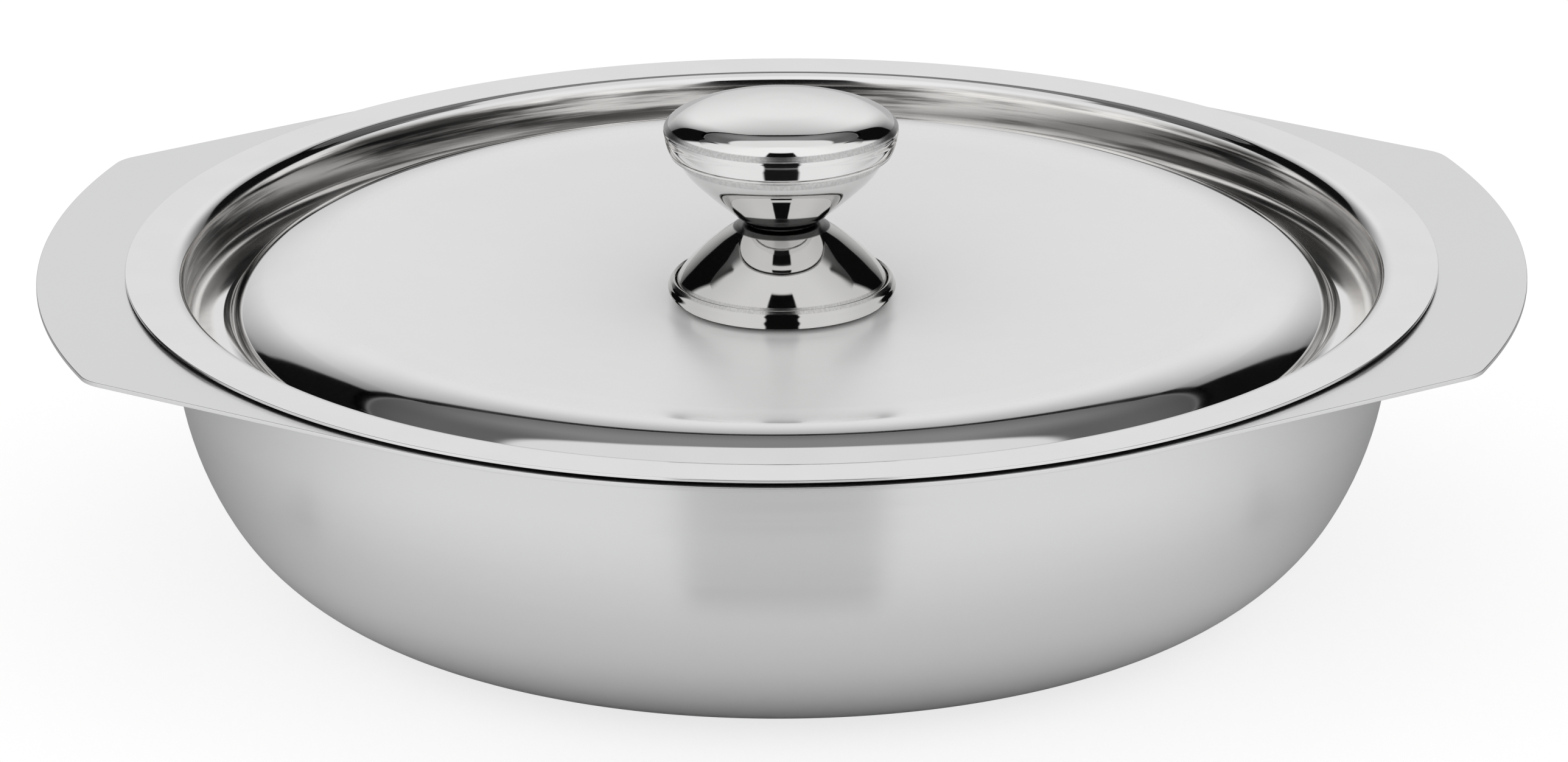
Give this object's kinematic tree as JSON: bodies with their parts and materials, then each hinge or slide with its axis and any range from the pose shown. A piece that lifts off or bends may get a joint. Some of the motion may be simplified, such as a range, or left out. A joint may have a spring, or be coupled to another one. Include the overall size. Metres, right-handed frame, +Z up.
{
  "type": "covered serving dish",
  "caption": "Round stainless steel vegetable dish with flat lobed rim handles and a drop-in lift-off lid with a hollow two-cone knob.",
  "frame": {"origin": "on the dish's axis, on the plane its foot ring stands on", "axes": "+Z up along the dish's axis, +X towards one handle lobe, +Y towards the plain side of the rim"},
  "size_m": [0.2722, 0.2424, 0.0902],
  "materials": {
    "satin_steel": "satin polished stainless steel",
    "mirror_steel": "mirror polished stainless steel",
    "plain_steel": "plain stainless steel"
  },
  "bodies": {
    "dish": {"dish": "satin_steel"},
    "lid": {"lid_shell": "mirror_steel", "knob_base": "mirror_steel", "knob_foot": "mirror_steel", "knob_cup": "mirror_steel", "knob_cap": "mirror_steel", "spacer_tube": "plain_steel", "threaded_insert": "plain_steel", "plain_washer": "plain_steel", "spring_washer": "plain_steel", "knob_screw": "plain_steel"}
  },
  "joints": [
    {"name": "lid_lift", "type": "slide", "parent": "dish", "child": "lid", "axis": [0, 0, 1], "range_m": [0, 0.08]}
  ]
}
